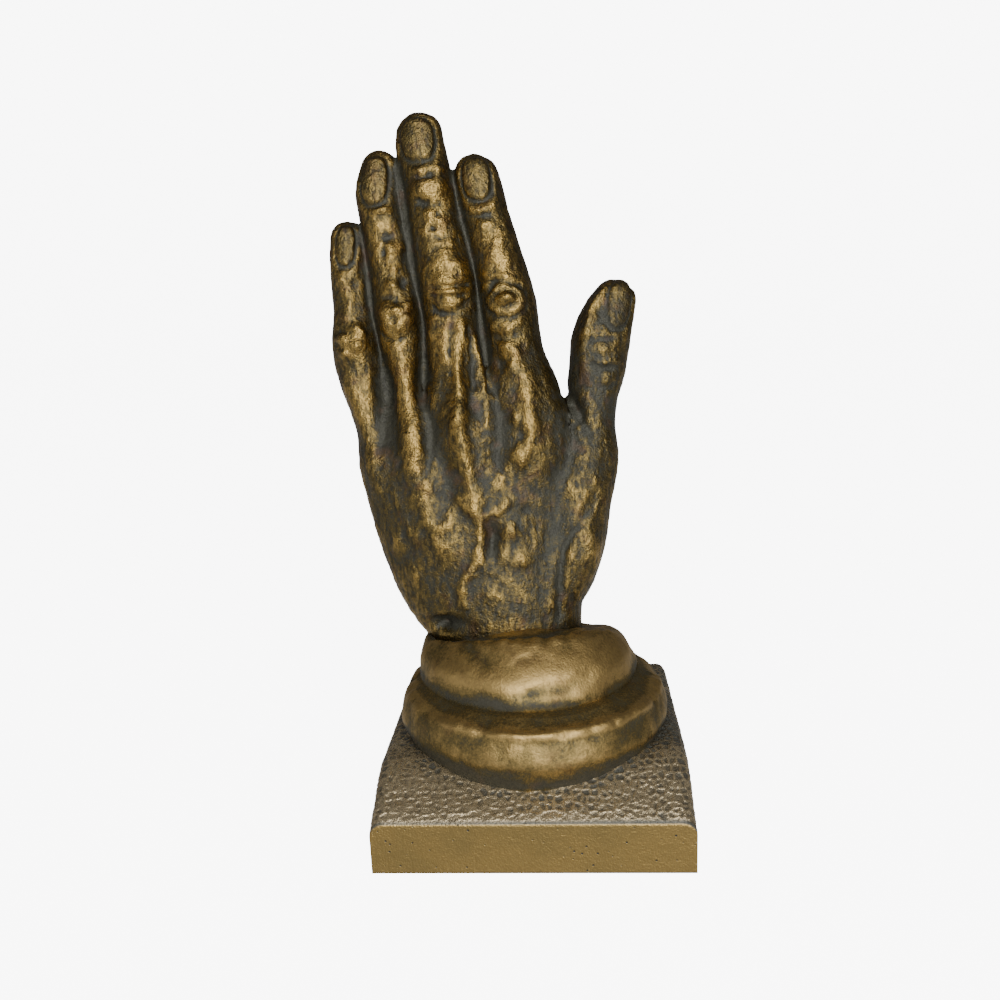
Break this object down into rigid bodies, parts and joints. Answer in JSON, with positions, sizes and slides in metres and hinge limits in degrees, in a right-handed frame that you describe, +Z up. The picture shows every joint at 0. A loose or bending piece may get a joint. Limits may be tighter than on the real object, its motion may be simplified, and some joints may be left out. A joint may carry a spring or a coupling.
{
  "type": "hand sculpture bookend",
  "caption": "Upright hand rising from a rolled sleeve cuff on a square pillow-topped base, cast as one piece to hold up a row of books.",
  "frame": {"origin": "centre of the base's underside, on the surface that it stands on", "axes": "+Z up from base to fingertips, +X to the thumb's side, +Y towards the books, so that the back of the hand faces -Y"},
  "size_m": [0.1045, 0.089, 0.2067],
  "materials": {
    "brass": "cast yellow brass with a dark antique patina in the recesses and worn bright high points"
  },
  "bodies": {
    "root": {"hand_bookend": "brass"}
  },
  "joints": []
}
